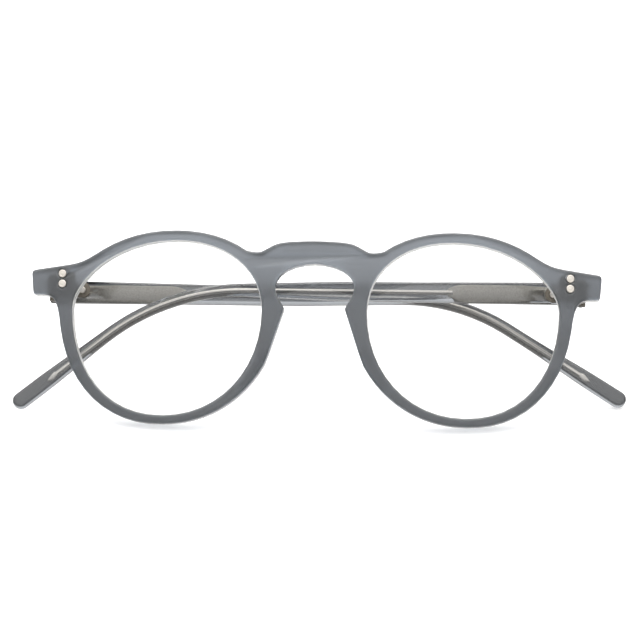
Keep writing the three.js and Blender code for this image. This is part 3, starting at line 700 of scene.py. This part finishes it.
def painted_wall_highlight(tree, coordinates):
    """One on the walls of the front that get the painted highlight, nothing elsewhere."""
    face = Vector((0, -math.cos(LEAN), math.sin(LEAN)))
    middle = face_frame() @ LENS_MIDDLE
    centre_x = (face_frame() @ Vector((0, 0, 0))).x
    place = add_node(tree, SPLIT, {"Vector": coordinates.outputs["Object"]})
    normal = add_node(tree, SPLIT, {"Vector": coordinates.outputs["Normal"]})
    # How far out from the middle of its own opening a point lies, times how far it faces that way
    across = add_node(tree, MATH, {0: place.outputs["X"], 1: centre_x}, operation="SUBTRACT")
    side = add_node(tree, MATH, {0: across}, operation="SIGN")
    width = add_node(tree, MATH, {0: across}, operation="ABSOLUTE")
    out_x = add_node(tree, MATH, {0: width, 1: middle.x - centre_x}, operation="SUBTRACT")
    out_z = add_node(tree, MATH, {0: place.outputs["Z"], 1: middle.z}, operation="SUBTRACT")
    sideways = add_node(tree, MATH, {0: side, 1: normal.outputs["X"]}, operation="MULTIPLY")
    level = add_node(tree, MATH, {0: out_x, 1: sideways}, operation="MULTIPLY")
    upright = add_node(tree, MATH, {0: out_z, 1: normal.outputs["Z"]}, operation="MULTIPLY")
    outward = add_node(tree, MATH, {0: level, 1: upright}, operation="ADD")
    facing = add_node(tree, RAMP, {"Value": outward, "From Min": FACING_NONE, "From Max": FACING_FULL})
    # A wall stands steeply to the face of the front
    flat = add_node(tree, "ShaderNodeVectorMath", {
        0: coordinates.outputs["Normal"], 1: face}, operation="DOT_PRODUCT")
    flat = add_node(tree, MATH, {0: flat.outputs["Value"]}, operation="ABSOLUTE")
    steep = add_node(tree, RAMP, {"Value": flat, "From Min": STEEP_NONE, "From Max": STEEP_FULL})
    # The undersides of the end pieces
    under = add_node(tree, RAMP, {
        "Value": normal.outputs["Z"], "From Min": UNDER_NONE, "From Max": UNDER_FULL})
    outer = add_node(tree, MATH, {0: width, 1: END_PIECE_FROM}, operation="GREATER_THAN")
    below = add_node(tree, MATH, {0: under, 1: outer}, operation="MULTIPLY")
    either = add_node(tree, MATH, {0: facing, 1: below}, operation="MAXIMUM")
    return add_node(tree, MATH, {0: either, 1: steep}, operation="MULTIPLY")


print("the middles of the lens openings are", round(2 * LENS_MIDDLE.x, 1), "mm apart")

# %% [markdown]
# ## Acetate
# This is cellulose acetate, tinted smoke grey all through, cut from sheet, tumbled and waxed. The eye
# sees a glossy skin over a body that passes light: blurred by the thick front, clear in the thin
# temples, where the metal cores have to show. The coat is the waxed skin. The body under it transmits,
# and its inside absorbs light, so a thick place is darker of itself, as on the real frame. A grey
# surface colour alone would look like painted metal. Acetate bends light by 1.48. Its tint drifts
# faintly in clouds about 8 mm wide, from the kneading of the paste that the sheet is pressed from.

# %% Acetate
ACETATE_IOR = 1.48
CLOUDS_PER_METRE = 120.0
SCATTER_DEPTH = 2 * MM
SKIN_ROUGHNESS = 0.03


def acetate(name, tint, clear, roughness, absorbed, density, walls=None):
    material, tree = new_material(name)
    coordinates = add_node(tree, "ShaderNodeTexCoord")
    clouds = add_node(tree, "ShaderNodeTexNoise", {
        "Vector": coordinates.outputs["Object"], "Scale": CLOUDS_PER_METRE, "Detail": 3.0})
    colour = add_node(tree, "ShaderNodeMix", {
        "Factor": clouds, 6: linear(tint[0]), 7: linear(tint[1])}, data_type="RGBA")
    # Where the mask is one, the walls get a painted highlight: a paler tint and less clearness
    if walls:
        mask = painted_wall_highlight(tree, coordinates)
        colour = add_node(tree, "ShaderNodeMix", {
            "Factor": mask, 6: colour.outputs[2], 7: linear(walls["tint"])}, data_type="RGBA")
        clear = add_node(tree, RAMP, {"Value": mask, "To Min": clear, "To Max": walls["clear"]})
    shader = add_node(tree, "ShaderNodeBsdfPrincipled", {
        "Base Color": colour.outputs[2],
        "Roughness": roughness,
        "IOR": ACETATE_IOR,
        "Transmission Weight": clear,
        "Subsurface Weight": 1.0,
        "Subsurface Scale": SCATTER_DEPTH,
        "Subsurface Radius": (1.0, 1.0, 1.0),
        "Coat Weight": 1.0,
        "Coat Roughness": SKIN_ROUGHNESS,
        "Coat IOR": ACETATE_IOR,
    })
    absorption = add_node(tree, "ShaderNodeVolumeAbsorption", {
        "Color": linear(absorbed), "Density": density})
    add_node(tree, "ShaderNodeOutputMaterial", {"Surface": shader, "Volume": absorption})
    print(name, "made with", len(tree.nodes), "nodes")
    return material


# Thick sheet, so what lies behind it is blurred away; its walls are painted pale and barely clear, a
# painted highlight
front_acetate = acetate("smoke_acetate_front", ("#c6cacf", "#bdc2c8"), 0.91, 0.34, "#8f97a0", 205.0,
                        walls={"tint": "#f6f4ee", "clear": 0.3})
# Thin strip, polished all round: as clear as tinted glass, nearly all its grey is absorption
temple_acetate = acetate("smoke_acetate_temple", ("#f2f4f5", "#eceef0"), 0.98, 0.03, "#8a9099", 370.0)

# %% [markdown]
# ## Metals
# Rivets, hinge leaves and cores are nickel silver, an alloy of copper, nickel and zinc: white with a
# warm cast. Only the screws are steel. What sets them apart is how each surface was made, which is
# roughness and grain more than colour, so one recipe makes them all. A noise as wide as the grain
# varies tone, roughness and a slight bump. An even surface would mirror the room like chrome.

# %% Metals
GRAIN_RELIEF = 0.02 * MM
GRAIN_STRENGTH = 0.15


def metal(name, colours, roughness, grains_per_metre):
    material, tree = new_material(name)
    coordinates = add_node(tree, "ShaderNodeTexCoord")
    grain = add_node(tree, "ShaderNodeTexNoise", {
        "Vector": coordinates.outputs["Object"], "Scale": grains_per_metre, "Detail": 6.0})
    colour = add_node(tree, "ShaderNodeMix", {
        "Factor": grain, 6: linear(colours[0]), 7: linear(colours[1])}, data_type="RGBA")
    rough = add_node(tree, RAMP, {
        "Value": grain, "To Min": roughness[0], "To Max": roughness[1]})
    bump = add_node(tree, "ShaderNodeBump", {
        "Height": grain, "Strength": GRAIN_STRENGTH, "Distance": GRAIN_RELIEF})
    shader = add_node(tree, "ShaderNodeBsdfPrincipled", {
        "Base Color": colour.outputs[2], "Metallic": 1.0, "Roughness": rough, "Normal": bump})
    add_node(tree, "ShaderNodeOutputMaterial", {"Surface": shader})
    print(name, "made, its grain is", round(1 / grains_per_metre / MM, 2), "mm wide")
    return material


# Filed flush with the acetate: soft, bright and warm white. The file's marks, 0.05 mm wide, are drawn
# coarser, so that they show
filed_silver = metal("nickel_silver_filed", ("#fffaf2", "#efe6da"), (0.35, 0.55), 4000.0)
# Stamped and tumbled. The hinge leaves are painted the darkest of the warm metals: a painted shade for
# the light that they keep from passing through the acetate
stamped_silver_painted_shade = metal("nickel_silver_stamped_shaded", ("#978f84", "#6b665c"), (0.4, 0.6), 2500.0)
# Blasted: it scatters light. Grit marks are about 0.1 mm wide and are drawn coarser, so that they show
blasted_plate = metal("core_plate_blasted", ("#fff8ea", "#cfc4b4"), (0.4, 0.6), 2500.0)
# Drawn through a die: smooth, so it carries the bright line along each temple. Its marks are drawn
# coarser too
drawn_wire = metal("core_wire_drawn", ("#fff8ec", "#f6ecde"), (0.14, 0.22), 1500.0)
# Turned steel, cooler than the rest
turned_steel = metal("screw_steel_turned", ("#a8a6a2", "#7c7a76"), (0.25, 0.4), 3000.0)

# %% [markdown]
# ## Painting
# Each piece gets its finish and rides on the body that carries it: what is fixed to a temple turns
# with it, and the rest stays with the front. The temple rivets have their heads turned away from the
# eye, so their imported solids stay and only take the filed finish.

# %% Painting every piece
paint(front, front_acetate, "front", "front")
for side in ("left", "right"):
    paint(pads[side], front_acetate, "front", f"nose_pad_{side}")
    paint(temples[side], temple_acetate, f"temple_{side}", f"temple_{side}")
    for part, finish in zip(cores[side], (blasted_plate, drawn_wire)):
        paint(part, finish, f"temple_{side}", f"core_{side}")
for node, piece in rivets.items():
    paint(piece, filed_silver, "front", node)
for node, piece in small_metal.items():
    body = "front"
    if node.startswith("temple"):
        body = "temple_left" if "left" in node else "temple_right"
    if "screw" in node:
        paint(piece, turned_steel, body, node)
    else:
        # The hinge leaves take the darker silver: a painted shade
        paint(piece, stamped_silver_painted_shade, body, node)
for name, node in frame["nodes"].items():
    if "temple_rivet" in name:
        for material_slot in node.material_slots:
            material_slot.material = filed_silver
print("painted: the front,", len(pads), "pads,", len(temples), "temples,", len(cores), "cores,",
      len(rivets), "rivets and", len(small_metal), "leaves and screws")

# %% [markdown]
# ## Table
# The frame stands on a white table. Near the frame the table lies in the frame's own shade, and what
# one sees through the acetate is mostly that, which makes the lower parts darker than the top. So for
# rays that have passed through the acetate the table's light rises from a low level at the frame to
# its full level 13 cm behind it. Rays that mirror off a surface meet an even light table, and the
# camera sees plain matt white with the frame's shadow on it.

# %% Table
TABLE_SIDE = 4
TABLE_NEAR, TABLE_FAR = 0.13, 1.3
SHADE_FROM, SHADE_TO = 0.01, 0.13
SHADE_POWER = 3.0
MIRRORED_TABLE = 0.7
TABLE_GLOW = 0.45

bpy.ops.object.select_all(action="DESELECT")
bpy.ops.mesh.primitive_plane_add(size=TABLE_SIDE)
table = bpy.context.object
table.name = "table"
table_white, tree = new_material("white_table")
rays = add_node(tree, "ShaderNodeLightPath")
glossy, transmitted = rays.outputs["Is Glossy Ray"], rays.outputs["Is Transmission Ray"]
where = add_node(tree, "ShaderNodeTexCoord")
where = add_node(tree, SPLIT, {"Vector": where.outputs["Object"]})
away = add_node(tree, RAMP, {"Value": where.outputs["Y"], "From Min": SHADE_FROM, "From Max": SHADE_TO})
away = add_node(tree, MATH, {0: away, 1: SHADE_POWER}, operation="POWER")
rising = add_node(tree, RAMP, {"Value": away, "To Min": TABLE_NEAR, "To Max": TABLE_FAR})
mirrored = add_node(tree, MATH, {0: glossy, 1: transmitted}, operation="SUBTRACT", use_clamp=True)
mirrored = add_node(tree, MATH, {0: mirrored, 1: MIRRORED_TABLE}, operation="MULTIPLY")
seen = add_node(tree, MATH, {0: rising, 1: mirrored}, operation="MAXIMUM")
shaded = add_node(tree, "ShaderNodeEmission", {"Strength": seen})
glow = add_node(tree, "ShaderNodeEmission", {"Strength": TABLE_GLOW})
matt = add_node(tree, "ShaderNodeBsdfDiffuse", {"Color": linear("#f4f4f4")})
plain = add_node(tree, "ShaderNodeAddShader", {0: glow, 1: matt})
through = add_node(tree, MATH, {0: glossy, 1: transmitted}, operation="MAXIMUM")
shown = add_node(tree, "ShaderNodeMixShader", {0: through, 1: plain, 2: shaded})
add_node(tree, "ShaderNodeOutputMaterial", {"Surface": shown})
table.data.materials.append(table_white)
print("table", TABLE_SIDE, "m wide, light at the frame", TABLE_NEAR, "and behind it", TABLE_FAR)

# %% [markdown]
# ## Light
# Clear and glossy things are lit as a glass maker's catalogue lights them: a white wall behind, a soft
# white ceiling, and dark cards in front and at the sides, which draw the edges. All of that depends on
# the direction alone, so it is worked out in the world's shader and needs no objects. The camera sees
# pure white past the table. One large soft lamp overhead lays the faint shadow on the table.

# %% Light
DARK_CARD = 0.12
WALL_FROM, WALL_TO, WALL_LIGHT = 0.35, 0.75, 1.0
CEILING_FROM, CEILING_TO, CEILING_LIGHT = 0.1, 1.0, 1.9

world = bpy.data.worlds.new("studio")
bpy.context.scene.world = world
world.use_nodes = True
tree = world.node_tree
tree.nodes.clear()
direction = add_node(tree, "ShaderNodeTexCoord")
direction = add_node(tree, SPLIT, {"Vector": direction.outputs["Generated"]})
behind = add_node(tree, RAMP, {
    "Value": direction.outputs["Y"],
    "From Min": WALL_FROM, "From Max": WALL_TO, "To Min": DARK_CARD, "To Max": WALL_LIGHT})
overhead = add_node(tree, RAMP, {
    "Value": direction.outputs["Z"],
    "From Min": CEILING_FROM, "From Max": CEILING_TO, "To Min": DARK_CARD, "To Max": CEILING_LIGHT})
studio = add_node(tree, MATH, {0: behind, 1: overhead}, operation="MAXIMUM")
rays = add_node(tree, "ShaderNodeLightPath")
studio = add_node(tree, MATH, {0: studio, 1: rays.outputs["Is Camera Ray"]}, operation="MAXIMUM")
light = add_node(tree, "ShaderNodeBackground", {"Color": (1, 1, 1, 1), "Strength": studio})
add_node(tree, "ShaderNodeOutputWorld", {"Surface": light})


def soft_box(name, place, aim, size, power):
    bpy.ops.object.select_all(action="DESELECT")
    bpy.ops.object.light_add(type="AREA", location=place)
    lamp = bpy.context.object
    lamp.name = name
    lamp.data.size = size
    lamp.data.energy = power
    lamp.rotation_euler = (Vector(aim) - Vector(place)).to_track_quat("-Z", "Y").to_euler()
    print(name, "gives", power, "W and is", size, "m wide")


soft_box("top_box", (0, 0.1, 0.6), (0, 0, 0.02), 0.6, 1.0)

# %% [markdown]
# ## Camera
# The photograph looks at the frame nearly straight from the front and from 21 degrees above. The
# camera's place, aim and lens are fitted so that the frame lies in the picture as it does there. The
# lens follows from the scale at the frame, about 4 pixels to a millimetre, and the distance.

# %% Camera
AZIMUTH, ELEVATION, DISTANCE = math.radians(2.695), math.radians(21.254), 0.896
AIM = Vector((0.00007, 0, 0.024217))
ROLL = math.radians(-0.346)
PIXELS_PER_MM = 3.951
PICTURE_SIDE = 640
SENSOR = 36
NEAREST = 0.01

bpy.ops.object.select_all(action="DESELECT")
bpy.ops.object.camera_add()
camera = bpy.context.object
camera.name = "photo_camera"
back = Vector((
    math.sin(AZIMUTH) * math.cos(ELEVATION),
    -math.cos(AZIMUTH) * math.cos(ELEVATION),
    math.sin(ELEVATION),
))
camera.location = AIM + back * DISTANCE
turn = back.to_track_quat("Z", "Y").to_matrix().to_4x4() @ Matrix.Rotation(ROLL, 4, "Z")
camera.rotation_euler = turn.to_euler()
camera.data.sensor_width = SENSOR
camera.data.lens = SENSOR * DISTANCE * PIXELS_PER_MM / MM / PICTURE_SIDE
camera.data.clip_start = NEAREST
bpy.context.scene.camera = camera
bpy.context.scene.view_settings.view_transform = "Standard"
print("lens", round(camera.data.lens, 1), "mm")
